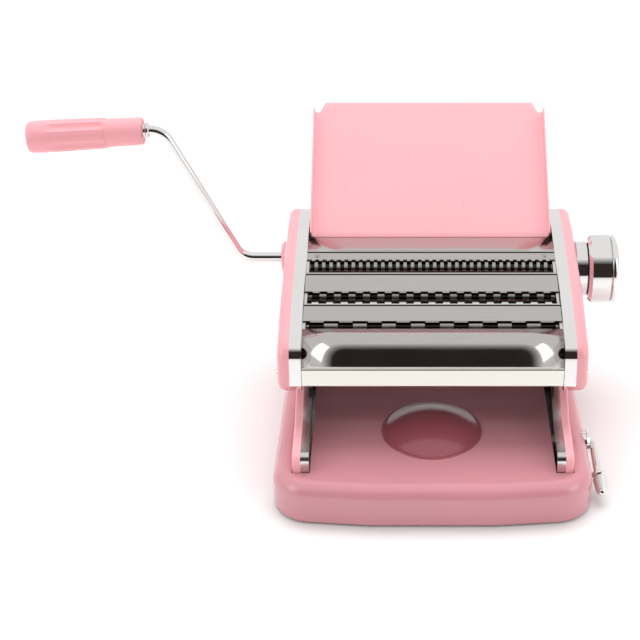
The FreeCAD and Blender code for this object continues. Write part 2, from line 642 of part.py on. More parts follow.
def front_roller_gear():
    teeth, root, tip, root_share, tip_share = ROLLER_GEAR
    toward_rear = math.atan2(-OPEN_Z, -OPEN_Y) + math.pi / teeth
    gear = gear_x(teeth, root, tip, root_share, tip_share, *ROLLER_GEAR_X, FRONT_Y, FRONT_Z, toward_rear)
    return gear.cut(cylinder_x(FRONT_JOURNAL, -90.0, -80.0, FRONT_Y, FRONT_Z))


def front_roller():
    profile = [(-87.2, FRONT_BORE), (-87.2, FRONT_JOURNAL), (-ROLLER_HALF, FRONT_JOURNAL)] + roller_face()
    profile += [(ROLLER_HALF, FRONT_JOURNAL), (82.0, FRONT_JOURNAL), (82.0, FRONT_BORE)]
    return revolved_x(profile, FRONT_Y, FRONT_Z)


def bearing_block_right():
    """Sliding bearing with an outer yoke that the regulator's cam pushes along the opening direction."""
    body = nip_block(FRONT_Y, FRONT_Z, PLATE_INNER, 81.5, -BLOCK_HALF, BLOCK_HALF, BLOCK_FOOT, BLOCK_TOP)
    post = nip_block(FRONT_Y, FRONT_Z, 81.5, 88.0, -9.0, 9.0, BLOCK_FOOT, BLOCK_FOOT + 3.1)
    cheek = nip_block(FRONT_Y, FRONT_Z, 88.0, 91.0, -9.5, 9.5, BLOCK_FOOT, 10.0)
    slot = nip_block(FRONT_Y, FRONT_Z, 87.0, 92.0, -CAM_RADIUS - 0.6, CAM_RADIUS + 0.6, -8.0, 8.0)
    block = body.fuse(post).fuse(cheek).cut(slot)
    return block.cut(cylinder_x(FRONT_JOURNAL + FIT, 75.0, 83.0, FRONT_Y, FRONT_Z)).removeSplitter()


def scraper(centre_y, centre_z, toward_nip, half_length):
    """Blade under a smooth roller that lifts the sheet off its surface."""
    corners = [(centre_y + toward_nip * 1.0, centre_z - ROLLER_RADIUS - GAP - 0.2),
               (centre_y - toward_nip * 6.0, centre_z - ROLLER_RADIUS - 1.2),
               (centre_y - toward_nip * 6.0, centre_z - ROLLER_RADIUS - 3.4),
               (centre_y + toward_nip * 1.0, centre_z - ROLLER_RADIUS - GAP - 1.0)]
    return prism_x(sharp(*corners), -half_length, half_length)


def roller_scraper_front():
    return scraper(FRONT_Y, FRONT_Z, 1.0, PLATE_INNER)


def roller_scraper_rear():
    return scraper(REAR_Y, REAR_Z, -1.0, PLATE_INNER)


# ---- thickness regulator ----
def regulator_shaft():
    shaft = cylinder_x(REGULATOR_SHAFT, -92.0, 117.0, KNOB_Y, KNOB_Z)
    head = cylinder_x(7.0, 117.0, 119.0, KNOB_Y, KNOB_Z)
    return shaft.fuse(head).removeSplitter()


def regulator_cams():
    cams = []
    for side in (-1, 1):
        low, high = sorted((side * 88.2, side * 90.8))
        cam = cylinder_x(CAM_RADIUS, low, high, FRONT_Y, FRONT_Z)
        cams.append(cam.cut(cylinder_x(REGULATOR_SHAFT, low, high, KNOB_Y, KNOB_Z)))
    return cams


def knob_dial():
    """Fixed collar behind the knob: a groove for the index pin and one hole for each setting."""
    profile = [(CAP_OUTER, 12.0), (CAP_OUTER, 17.8), (96.5, 18.5), (103.2, 18.5), (103.8, 17.9),
               (103.8, REGULATOR_SHAFT + FIT), (CAP_OUTER + 2.0, REGULATOR_SHAFT + FIT),
               (CAP_OUTER + 2.0, 12.0)]
    dial = revolved_x(profile, KNOB_Y, KNOB_Z)
    groove = cylinder_x(16.0, 101.0, 105.0, KNOB_Y, KNOB_Z)
    dial = dial.cut(groove.cut(cylinder_x(13.0, 100.0, 106.0, KNOB_Y, KNOB_Z)))
    for step in range(SETTINGS):
        angle = math.pi * step / (SETTINGS - 1)
        y = KNOB_Y + INDEX_RADIUS * math.cos(angle)
        z = KNOB_Z + INDEX_RADIUS * math.sin(angle)
        dial = dial.cut(cylinder_x(1.4, 98.5, 105.0, y, z))
    return dial


def thickness_knob():
    """Drum with a chamfered back edge, hollow for the spring, with an index pin at its back."""
    profile = [(104.2, REGULATOR_SHAFT + FIT), (104.2, 20.8), (106.4, 23.0), (118.6, 23.0), (118.6, 14.0),
               (108.0, 14.0), (108.0, REGULATOR_SHAFT + FIT)]
    pin = cylinder_x(1.0, 101.4, 106.0, KNOB_Y + INDEX_RADIUS, KNOB_Z)
    return revolved_x(profile, KNOB_Y, KNOB_Z).fuse(pin)


def knob_cap():
    """Domed end of the knob, pressed into the drum with a narrow groove between them."""
    profile = [(113.6, 12.6), (113.6, 14.0), (118.6, 14.0), (118.6, 21.8), (119.6, 21.8), (119.6, 23.0),
               (121.8, 23.0), (123.4, 21.6), (124.6, 16.0), (125.2, 8.0), (125.3, 0.0), (123.4, 0.0),
               (123.4, 12.6)]
    return revolved_x(profile, KNOB_Y, KNOB_Z)


def knob_spring():
    """Compression spring between the drum's floor and the head of the regulator shaft."""
    helix = Part.makeHelix(2.0, 8.0, 5.6)
    wire = Part.Wire(Part.makeCircle(0.45, V(5.6, 0, 0), V(0, 1, 0)))
    coil = Part.Wire(helix).makePipeShell([wire], True, True)
    coil.rotate(V(0, 0, 0), V(0, 1, 0), 90)
    coil.translate(V(108.5, KNOB_Y, KNOB_Z))
    return coil


# ---- cutters ----
def cutter_roller(name, which):
    """Grooved roller; the rings of one roller of a pair face the grooves of the other."""
    y, z = cutter_axes(name)[which]
    _, pitch = CUTTERS[name]
    ring = pitch / 2 - 0.35
    left_end = -90.0 if which else -84.0
    profile = [(left_end, 0)]
    if which:
        profile += [(left_end, 5.0), (-81.2, 5.0), (-81.2, CUTTER_SHAFT)]
    else:
        profile += [(left_end, CUTTER_SHAFT)]
    profile += [(-ROLLER_HALF, CUTTER_SHAFT), (-ROLLER_HALF, CUTTER_CORE)]
    half_count = int(ROLLER_HALF / pitch) + 1
    for i in range(-half_count, half_count + 1):
        middle = (i + which / 2) * pitch
        if abs(middle) + ring / 2 < ROLLER_HALF - 0.4:
            profile += [(middle - ring / 2, CUTTER_CORE), (middle - ring / 2, CUTTER_RADIUS),
                        (middle + ring / 2, CUTTER_RADIUS), (middle + ring / 2, CUTTER_CORE)]
    profile += [(ROLLER_HALF, CUTTER_CORE), (ROLLER_HALF, CUTTER_SHAFT), (86.5, CUTTER_SHAFT), (86.5, 0)]
    roller = revolved_x(profile, y, z)
    if which:
        roller = roller.cut(hexagon_x(HEX_KEY + 0.1, left_end - 1.0, -82.0, y, z))
    return roller


CUTTER_GEAR = (16, 5.4, 7.2, 0.62, 0.28)


def cutter_gear(name, which):
    axes = cutter_axes(name)
    y, z = axes[which]
    other_y, other_z = axes[1 - which]
    teeth, root, tip, root_share, tip_share = CUTTER_GEAR
    turn = math.atan2(other_z - z, other_y - y) + which * math.pi / teeth
    gear = gear_x(teeth, root, tip, root_share, tip_share, 81.6, 86.0, y, z, turn)
    return gear.cut(cylinder_x(CUTTER_SHAFT, 80.0, 88.0, y, z))


def cutter_bushes():
    bushes = []
    for name in CUTTERS:
        for y, z in cutter_axes(name):
            for side in (-1, 1):
                low, high = sorted((side * PLATE_INNER, side * (PLATE_OUTER + 0.2)))
                ring = cylinder_x(5.0, low, high, y, z)
                bushes.append(ring.cut(cylinder_x(CUTTER_SHAFT + FIT, low, high, y, z)))
    return bushes


def stripper_comb(name):
    """Bar under a cutter pair with a tooth in every groove of both rollers."""
    station, pitch = CUTTERS[name]
    groove = pitch / 2 + 0.35
    tooth = groove - 0.9
    combs = []
    tooth_top = -CUTTER_DEPTH - CUTTER_CORE - 0.4
    bar_top = -CUTTER_DEPTH - CUTTER_RADIUS - 0.6
    half_count = int(ROLLER_HALF / pitch) + 1
    for which, side in ((0, -1), (1, 1)):
        centre = station * CUTTER_STATION + side * CUTTER_CENTRES / 2
        bar = deck_block(-PLATE_INNER, PLATE_INNER, centre - 1.2, centre + 1.2, bar_top - 2.4, bar_top)
        teeth = []
        for i in range(-half_count, half_count + 1):
            middle = (i + 0.5 + which / 2) * pitch
            if abs(middle) + groove / 2 < ROLLER_HALF - 1.0:
                teeth.append(deck_block(middle - tooth / 2, middle + tooth / 2, centre - 0.8, centre + 0.8,
                                        bar_top - 0.4, tooth_top))
        combs.append(bar.fuse(teeth).removeSplitter())
    return combs


# ---- crank ----
GRIP_TILT = math.radians(3.4)
GRIP_INNER = V(-188.4, REAR_Y, REAR_Z + CRANK_ARM)
GRIP_LENGTH = 76.0
GRIP_DIRECTION = V(-math.cos(GRIP_TILT), 0, -math.sin(GRIP_TILT))


def crank_rod():
    hand = GRIP_INNER - GRIP_DIRECTION * 12.5
    end = GRIP_INNER + GRIP_DIRECTION * (GRIP_LENGTH - 8.0)
    runs = [V(-99.4, REAR_Y, REAR_Z), V(-128.5, REAR_Y, REAR_Z), hand, end]
    rod = rod_along(runs, 13.0, CRANK_ROD)
    return rod.fuse(hexagon_x(HEX_KEY, -99.4, -86.0, REAR_Y, REAR_Z)).removeSplitter()


def along_grip(profile):
    piece = revolved_x(profile, 0, 0)
    turn = FreeCAD.Rotation(V(1, 0, 0), GRIP_DIRECTION)
    return piece.transformGeometry(FreeCAD.Placement(GRIP_INNER, turn).toMatrix())


def crank_ferrule():
    return along_grip([(-4.4, CRANK_ROD), (-4.4, 4.6), (-3.6, 5.4), (-2.4, 5.4), (-1.8, 4.8), (-0.5, 4.8),
                       (-0.5, CRANK_ROD)])


def crank_grip():
    bore = CRANK_ROD + 0.08
    inner = GRIP_LENGTH - 7.0
    return along_grip([(0, bore), (0, 8.6), (0.8, 9.2), (23.0, 9.2), (24.2, 9.9), (GRIP_LENGTH - 3.0, 10.7),
                       (GRIP_LENGTH - 0.8, 9.6), (GRIP_LENGTH, 7.6), (GRIP_LENGTH, 0), (inner, 0),
                       (inner, bore)])


# ---- tray ----
def dough_tray():
    """Folded sheet: sides bent up, upper edge bent back with its corners cut off."""
    half = TRAY_HALF - TRAY_CORNER_CUT
    edge = TRAY_HALF - TRAY_SHEET
    sheet = tray_block(-TRAY_HALF, TRAY_HALF, 0, TRAY_SIDE_END, -TRAY_SHEET, 0)
    top = tray_block(-half, half, TRAY_SIDE_END, TRAY_LENGTH, -TRAY_SHEET, 0)
    lip = tray_block(-half, half, TRAY_LENGTH - TRAY_SHEET, TRAY_LENGTH, -TRAY_SHEET - 2.5, 0)
    left = tray_block(-TRAY_HALF, -edge, 0, TRAY_SIDE_END, 0, TRAY_FLANGE)
    right = tray_block(edge, TRAY_HALF, 0, TRAY_SIDE_END, 0, TRAY_FLANGE)
    return sheet.fuse([top, lip, left, right]).removeSplitter()


def nodes():
    made = {
        "base_shell": base_shell(), "base_plate": base_plate(), "base_gasket": base_gasket(),
        "base_screws": base_screws(), "leg_nuts": leg_nuts(),
        "suction_cup": suction_cup(), "suction_stem": suction_stem(), "lever_shaft": lever_shaft(),
        "lever_bush": lever_bush(), "lever_bearer": lever_bearer(), "lever_arm": lever_arm(),
        "lever_collar": lever_collar(), "lever_grip": lever_grip(),
        "side_plate_right": side_plate_right(), "side_plate_left": mirrored(side_plate_right()),
        "tie_rods": tie_rods(), "cover_screws": cover_screws(),
        "leg_cover_right": leg_cover_right(), "leg_cover_left": mirrored(leg_cover_right()),
        "side_trim_right": side_trim_right(), "side_trim_left": mirrored(side_trim_right()),
        "side_cap_right": side_cap_right(), "side_cap_left": side_cap_left(),
        "deck_strip_top": deck_strip_top(), "deck_strip_middle": deck_strip_middle(),
        "deck_strip_lower": deck_strip_lower(), "top_plate": top_plate(),
        "front_cover": front_cover(), "front_lip": front_lip(), "rear_cover": rear_cover(),
        "tray_bracket": tray_bracket(), "rear_roller": rear_roller(), "roller_bushes": roller_bushes(),
        "rear_roller_gear": rear_roller_gear(), "front_roller_gear": front_roller_gear(),
        "front_roller": front_roller(), "bearing_block_right": bearing_block_right(),
        "bearing_block_left": mirrored(bearing_block_right()), "roller_scraper_front": roller_scraper_front(),
        "roller_scraper_rear": roller_scraper_rear(), "regulator_shaft": regulator_shaft(),
        "regulator_cams": regulator_cams(), "knob_dial": knob_dial(), "thickness_knob": thickness_knob(),
        "knob_cap": knob_cap(), "knob_spring": knob_spring(), "cutter_bushes": cutter_bushes(),
        "crank_rod": crank_rod(), "crank_ferrule": crank_ferrule(), "crank_grip": crank_grip(),
        "dough_tray": dough_tray(),
    }
    for name in CUTTERS:
        made["stripper_comb_" + name] = stripper_comb(name)
        for which, word in enumerate(("front", "back")):
            made["cutter_" + name + "_" + word] = Part.Compound(
                [cutter_roller(name, which), cutter_gear(name, which)])
    return made


def main():
    os.makedirs("parts", exist_ok=True)
    for name, shape in nodes().items():
        if isinstance(shape, list):
            shape = Part.Compound(shape)
        shape.exportStep("parts/" + name + ".step")
        print(name, "solids", len(shape.Solids), "valid", shape.isValid(), "volume", round(shape.Volume, 1))


main()
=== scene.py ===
import json
import math

import bmesh
import bpy
from mathutils import Matrix, Vector


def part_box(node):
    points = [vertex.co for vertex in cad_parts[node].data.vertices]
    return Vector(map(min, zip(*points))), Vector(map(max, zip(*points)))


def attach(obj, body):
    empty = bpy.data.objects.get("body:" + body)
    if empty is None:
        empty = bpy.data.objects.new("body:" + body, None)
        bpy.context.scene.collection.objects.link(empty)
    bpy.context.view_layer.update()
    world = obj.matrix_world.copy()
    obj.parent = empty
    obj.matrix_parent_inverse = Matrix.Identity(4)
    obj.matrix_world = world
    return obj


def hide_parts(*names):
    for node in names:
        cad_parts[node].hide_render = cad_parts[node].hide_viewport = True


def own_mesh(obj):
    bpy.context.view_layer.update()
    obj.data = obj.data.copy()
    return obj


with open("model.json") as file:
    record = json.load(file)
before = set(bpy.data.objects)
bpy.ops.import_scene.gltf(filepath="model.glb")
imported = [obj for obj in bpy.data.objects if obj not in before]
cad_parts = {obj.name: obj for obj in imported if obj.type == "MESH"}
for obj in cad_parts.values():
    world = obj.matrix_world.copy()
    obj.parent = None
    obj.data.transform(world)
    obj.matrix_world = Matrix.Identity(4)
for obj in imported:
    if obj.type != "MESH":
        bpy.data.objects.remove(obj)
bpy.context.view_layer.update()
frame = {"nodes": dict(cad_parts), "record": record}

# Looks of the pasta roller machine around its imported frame. Metres, +Z up, same axes as the frame.

# ---- camera: place, angle above straight down, lens in millimetres, sideways shift ----
CAMERA_PLACE = (-0.0201, -0.811, 0.577)
CAMERA_PITCH = math.radians(59)
CAMERA_LENS = 84.4
CAMERA_SHIFT = -0.125

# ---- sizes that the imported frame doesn't name ----
RING_PITCH = {"fine": 0.0048, "medium": 0.0092, "wide": 0.0180}      # of the cutters' rings
DECK_SLOPE = math.radians(11.7)      # the deck falls to the front
TRAY_SHEET = 0.0012
DECK_SHEET = 0.0008

# ---- values that the materials share ----
NOISE_LOW, NOISE_HIGH = 0.3, 0.7      # most of a noise texture's values lie between them
# grooves' dark colour: painted shade in the deep grooves, with some dark residue
GROOVE_SHADE_AND_RESIDUE = (0.035, 0.030, 0.027)


# ---- materials ----
def new_material(name, color, metallic, roughness):
    """Plain material with its shader, before any texture is linked to it."""
    material = bpy.data.materials.new(name)
    material.use_nodes = True
    shader = material.node_tree.nodes["Principled BSDF"]
    shader.inputs["Base Color"].default_value = (*color, 1)
    shader.inputs["Metallic"].default_value = metallic
    shader.inputs["Roughness"].default_value = roughness
    return material, shader


def noise(material, scale, detail=2.0, stretch=(1, 1, 1)):
    """Noise over the object's own coordinates; scale is in features per metre."""
    nodes, links = material.node_tree.nodes, material.node_tree.links
    place = nodes.new("ShaderNodeTexCoord")
    mapping = nodes.new("ShaderNodeMapping")
    mapping.inputs["Scale"].default_value = stretch
    texture = nodes.new("ShaderNodeTexNoise")
    texture.inputs["Scale"].default_value = scale
    texture.inputs["Detail"].default_value = detail
    links.new(place.outputs["Object"], mapping.inputs["Vector"])
    links.new(mapping.outputs["Vector"], texture.inputs["Vector"])
    return texture.outputs["Fac"]


def spread(material, shader, value, socket, low, high):
    """Drives a number of the shader between low and high by a texture value."""
    ranged = material.node_tree.nodes.new("ShaderNodeMapRange")
    ranged.inputs["From Min"].default_value = NOISE_LOW
    ranged.inputs["From Max"].default_value = NOISE_HIGH
    ranged.inputs["To Min"].default_value = low
    ranged.inputs["To Max"].default_value = high
    material.node_tree.links.new(value, ranged.inputs["Value"])
    material.node_tree.links.new(ranged.outputs["Result"], shader.inputs[socket])


def two_colors(material, shader, value, first, second, start, end):
    """Base colour runs from first to second as the value goes from start to end."""
    ramp = material.node_tree.nodes.new("ShaderNodeValToRGB")
    ramp.color_ramp.elements[0].position = start
    ramp.color_ramp.elements[1].position = end
    ramp.color_ramp.elements[0].color = (*first, 1)
    ramp.color_ramp.elements[1].color = (*second, 1)
    material.node_tree.links.new(value, ramp.inputs["Fac"])
    material.node_tree.links.new(ramp.outputs["Color"], shader.inputs["Base Color"])


def tint(material, shader, value, color, shade):
    """Lets the colour drift down to a darker shade of itself."""
    darker = tuple(channel * shade for channel in color)
    two_colors(material, shader, value, darker, color, NOISE_LOW, NOISE_HIGH)


def relief(material, shader, value, height, strength):
    """Bumps of the given height in metres, with the texture's value as their form."""
    bump = material.node_tree.nodes.new("ShaderNodeBump")
    bump.inputs["Distance"].default_value = height
    bump.inputs["Strength"].default_value = strength
    material.node_tree.links.new(value, bump.inputs["Height"])
    material.node_tree.links.new(bump.outputs["Normal"], shader.inputs["Normal"])


def plastic(name, color, roughness, coat, shade=0.93):
    """Moulded or enamelled surface: faint colour drift, slight orange peel, uneven gloss."""
    material, shader = new_material(name, color, 0.0, roughness)
    shader.inputs["IOR"].default_value = 1.5
    shader.inputs["Coat Weight"].default_value = coat
    shader.inputs["Coat Roughness"].default_value = 0.04
    tint(material, shader, noise(material, 14.0, 3.0), color, shade)
    spread(material, shader, noise(material, 60.0, 4.0), "Roughness", roughness * 0.8, roughness * 1.25)
    relief(material, shader, noise(material, 700.0, 1.0), 0.00002, 0.35)
    return material


def steel(name, color, roughness, grain=(1, 60, 60), lines=40.0):
    """Rolled or ground steel: fine lines along one direction, cloudy gloss."""
    material, shader = new_material(name, color, 1.0, roughness)
    tint(material, shader, noise(material, lines, 4.0, grain), color, 0.93)
    spread(material, shader, noise(material, 35.0, 4.0), "Roughness", roughness * 0.75, roughness * 1.4)
    relief(material, shader, noise(material, lines * 2.0, 3.0, grain), 0.000004, 0.5)
    return material


def chrome(name, color, roughness):
    """Plated surface: nearly clean mirror with faint cloudiness."""
    material, shader = new_material(name, color, 1.0, roughness)
    tint(material, shader, noise(material, 25.0, 3.0), color, 0.95)
    spread(material, shader, noise(material, 90.0, 5.0), "Roughness", roughness * 0.5, roughness * 2.0)
    return material


def grooved_steel_painted_shade(name, pitch, shift, ring_painted_light):
    """Cutter roller: ring faces and darker grooves, alternating along the roller's X direction; the
    grooves' dark is painted shade with some dark residue, and the back rollers' dimmer rings are painted
    shade.
    """
    # ring colour carries painted light: near full on the front rollers, dimmed as painted shade on the back
    # ones
    ring_painted_color = (ring_painted_light, ring_painted_light * 0.985, ring_painted_light * 0.95)
    ring_edge, groove_edge = 0.225, 0.245      # in pitches from the middle of a ring
    material, shader = new_material(name, ring_painted_color, 1.0, 0.16)
    nodes, links = material.node_tree.nodes, material.node_tree.links
    place = nodes.new("ShaderNodeTexCoord")
    split = nodes.new("ShaderNodeSeparateXYZ")
    links.new(place.outputs["Object"], split.inputs["Vector"])
    value = split.outputs["X"]
    for operation, amount in (("DIVIDE", pitch), ("ADD", 0.5 - shift), ("FRACT", 0.0), ("SUBTRACT", 0.5),
                              ("ABSOLUTE", 0.0)):
        step = nodes.new("ShaderNodeMath")
        step.operation = operation
        step.inputs[1].default_value = amount
        links.new(value, step.inputs[0])
        value = step.outputs["Value"]
    two_colors(material, shader, value, ring_painted_color, GROOVE_SHADE_AND_RESIDUE, ring_edge, groove_edge)
    spread(material, shader, noise(material, 120.0, 3.0), "Roughness", 0.12, 0.26)
    return material


def dull(name, color, roughness):
    """Rubber or natural plastic with a fine grain."""
    material, shader = new_material(name, color, 0.0, roughness)
    tint(material, shader, noise(material, 45.0, 4.0), color, 0.8)
    spread(material, shader, noise(material, 200.0, 3.0), "Roughness", roughness * 0.85, roughness * 1.15)
    relief(material, shader, noise(material, 1500.0, 3.0), 0.00004, 0.5)
    return material


def make_materials():
    """One material for each of the record's slots, and one for each node that has a finish of its own; the
    base shell's own material is the pink paint darkened as painted shade.
    """
    made = {
        "pink_gloss": plastic("pink_gloss", (0.92, 0.40, 0.445), 0.16, 0.30),
        # the base shell's pink is the caps' paint darkened: painted shade from the head above the base
        "base_shell": plastic("base_pink_painted_shade", (0.66, 0.283, 0.322), 0.16, 0.35),
        "pink_enamel": plastic("pink_enamel", (0.96, 0.455, 0.490), 0.34, 0.12, 0.97),
        "pink_grip": plastic("pink_grip", (0.95, 0.41, 0.45), 0.36, 0.15, 0.96),
        # deep red copy of the pink: painted shade from the head over the dome
        "dome_painted_shade": plastic("dome_painted_shade", (0.34, 0.085, 0.105), 0.14, 0.1),
        "polished_steel": steel("polished_steel", (0.55, 0.525, 0.51), 0.11),
        "bright_steel": steel("bright_steel", (0.80, 0.775, 0.72), 0.10),
        "chrome": chrome("chrome", (0.84, 0.83, 0.82), 0.045),
        "frame_steel": steel("frame_steel", (0.72, 0.70, 0.69), 0.20, (60, 1, 8)),
        "roller_steel": steel("roller_steel", (0.80, 0.79, 0.76), 0.17, (40, 4, 4), 60.0),
        "gear_steel": steel("gear_steel", (0.45, 0.44, 0.43), 0.3, (8, 8, 8)),
        "bearing_bronze": steel("bearing_bronze", (0.60, 0.42, 0.20), 0.38, (10, 10, 10)),
        "comb_plastic": dull("comb_plastic", (0.80, 0.78, 0.72), 0.5),
        "scraper_steel": steel("scraper_steel", (0.55, 0.55, 0.54), 0.25),
        "dark_rubber": dull("dark_rubber", (0.030, 0.028, 0.028), 0.6),
        "stem_plastic": dull("stem_plastic", (0.10, 0.10, 0.105), 0.45),
    }
    for kind, pitch in RING_PITCH.items():
        # the back rollers' rings are dimmed to 0.42 as painted shade from the deck strip's edge above them
        for shift, word, ring_painted_light in ((0.0, "front", 0.98), (0.5, "back", 0.42)):
            node = "cutter_" + kind + "_" + word
            made[node] = grooved_steel_painted_shade(node + "_steel", pitch, shift, ring_painted_light)
    return made


def dress_frame(materials):
    """Gives each CAD node its own material where it has one, and its slot's material otherwise."""
    for subpart in frame["record"]["subparts"]:
        node = subpart["node"]
        material = materials.get(node, materials[subpart["material_slot"]])
        for slot in frame["nodes"][node].material_slots:
            slot.material = material


# ---- detailed pieces ----
def add_piece(name, mesh, material, body, replaced=None, place=None):
    """Finishes a bmesh as a smooth piece that rides on a body; place brings its axes into the frame's."""
    bmesh.ops.recalc_face_normals(mesh, faces=mesh.faces)
    data = bpy.data.meshes.new(name)
    mesh.to_mesh(data)
    mesh.free()
    if place:
        data.transform(place)
    data.polygons.foreach_set("use_smooth", [True] * len(data.polygons))
    data.materials.append(material)
    piece = bpy.data.objects.new(name, data)
    bpy.context.scene.collection.objects.link(piece)
    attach(piece, body)
    if replaced:
        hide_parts(replaced)
    return piece


def lathe(profile, steps, swell=None, closed_start=True):
    """Turned mesh about its own X axis from (x, radius) points; swell(x, angle) is added to the radius."""
    mesh = bmesh.new()
    rings = []
    for x, radius in profile:
        ring = []
        for i in range(steps):
            angle = 2 * math.pi * i / steps
            reach = radius + (swell(x, angle) if swell else 0)
            ring.append(mesh.verts.new((x, reach * math.cos(angle), reach * math.sin(angle))))
        rings.append(ring)
    for ring, following in zip(rings, rings[1:]):
        for i in range(steps):
            j = (i + 1) % steps
            mesh.faces.new((ring[i], following[i], following[j], ring[j]))
    if closed_start:
        mesh.faces.new(rings[0])
    mesh.faces.new(rings[-1])
    return mesh


def step_between(value, low, high):
    """0 below low, 1 above high, smooth between them."""
    share = min(max((value - low) / (high - low), 0.0), 1.0)
    return share * share * (3 - 2 * share)


def between(start, pull, end, share):
    """Point at a share of the way along the curve from start to end that is drawn towards pull."""
    return (1 - share) ** 2 * start + 2 * share * (1 - share) * pull + share ** 2 * end


def rounded(profile, radius, segments=4):
    """The outline with every corner between its two ends replaced by a short curve."""
    most = 0.45      # of the side that the curve starts on
    smooth = [profile[0]]
    for before, corner, after in zip(profile, profile[1:], profile[2:]):
        corner = Vector(corner)
        start, end = Vector(before) - corner, Vector(after) - corner
        start = corner + start.normalized() * min(radius, start.length * most)
        end = corner + end.normalized() * min(radius, end.length * most)
        for i in range(segments + 1):
            smooth.append(between(start, corner, end, i / segments))
    smooth.append(profile[-1])
    return [tuple(point) for point in smooth]


def place_along(start, direction):
    """Placement that turns a piece's own X axis along the direction, with its origin at start."""
    turn = Vector((1, 0, 0)).rotation_difference(direction).to_matrix().to_4x4()
    return Matrix.Translation(start) @ turn


def joint(name):
    """The record's entry for a joint."""
    return next(entry for entry in frame["record"]["behaviour"]["joints"] if entry["name"] == name)


def centre(node):
    """Middle of a node's box at rest."""
    low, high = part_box(node)
    return (Vector(low) + Vector(high)) / 2


def join_rows(mesh, rows):
    """Fills the gaps between neighbouring rows of vertices with four-sided faces."""
    for row, following in zip(rows, rows[1:]):
        for i in range(len(row) - 1):
            mesh.faces.new((row[i], row[i + 1], following[i + 1], following[i]))


def make_sheet(piece, up, thickness):
    """Turns a surface into a sheet of metal that has the surface as its upper face."""
    if sum(face.normal.dot(up) * face.area for face in piece.data.polygons) < 0:
        piece.data.flip_normals()
    thicken = piece.modifiers.new("sheet", "SOLIDIFY")
    thicken.thickness = thickness
    thicken.offset = -1


def make_crank_grip(materials):
    """Tapered grip: plain collar, then wide scallops between narrow ridges, then a rounded end."""
    spin = joint("grip_spin")
    flutes, depth = 10, 0.0014
    collar, flute_end, length = 0.0242, 0.0640, 0.0760
    flute_start_fade, flute_end_fade = 0.0012, 0.006
    radius, taper = 0.0101, 0.0006

    def scallop(x, angle):
        begun = step_between(x, collar, collar + flute_start_fade)
        ended = step_between(x, flute_end - flute_end_fade, flute_end)
        across = (flutes * angle / (2 * math.pi)) % 1.0
        return -depth * begun * (1 - ended) * math.sin(math.pi * across) ** 0.8

    mouth = [(0.0012, 0.0037), (0.0008, 0.0072), (0.0, 0.0078), (0.0, 0.0086), (0.0012, 0.0091)]
    outline = rounded(mouth, 0.0006)
    outline += [(0.006, 0.0092), (0.016, 0.0093), (0.0228, 0.0094), (0.0234, 0.0095), (collar, 0.0100)]
    steps = 26
    for i in range(1, steps + 1):
        share = i / steps
        outline.append((collar + (flute_end - collar) * share, radius + taper * share))
    outline += rounded([(0.068, 0.01065), (0.0745, 0.01045), (length, 0.0088), (length, 0.0010)], 0.0022, 6)
    mesh = lathe(outline, flutes * 14, scallop)
    place = place_along(Vector(spin["pos_m"]), -Vector(spin["axis"]))
    add_piece("crank_grip_moulded", mesh, materials["pink_grip"], "crank_handle",
              "crank_grip", place)


def make_lever_grip(materials):
    """Small knurled barrel with a rounded tip on the end of the suction lever."""
    half_collar = 0.0017
    direction = (centre("lever_grip") - centre("lever_collar")).normalized()
    start = centre("lever_collar") + direction * half_collar
    length = 2 * (centre("lever_grip") - start).dot(direction)
    low, high = 0.0012, length - 0.0028
    radius, taper = 0.0038, 0.0006
    starts, depth, fade, twist = 11, 0.0004, 0.0006, 2600.0      # twist in radians per metre

    def knurl(x, angle):
        inside = step_between(x, low, low + fade) * (1 - step_between(x, high - fade, high))
        right_hand = abs(math.sin(starts * angle + twist * x))
        left_hand = abs(math.sin(starts * angle - twist * x))
        return depth * inside * min(min(right_hand, left_hand) * 1.6, 1.0)

    outline = [(0.0, 0.0024), (0.0, 0.0031), (0.0004, 0.0036), (0.0010, radius)]
    steps = 60
    for i in range(steps + 1):
        share = i / steps
        outline.append((low + (high - low) * share, radius - taper * share))
    tip = [(high + 0.0002, 0.0031), (length - 0.0012, 0.0027), (length, 0.0012), (length, 0.0003)]
    outline += rounded(tip, 0.0008)
    mesh = lathe(outline, starts * 12, knurl)
    add_piece("lever_grip_knurled", mesh, materials["chrome"], "lever", "lever_grip",
              place_along(start, direction))


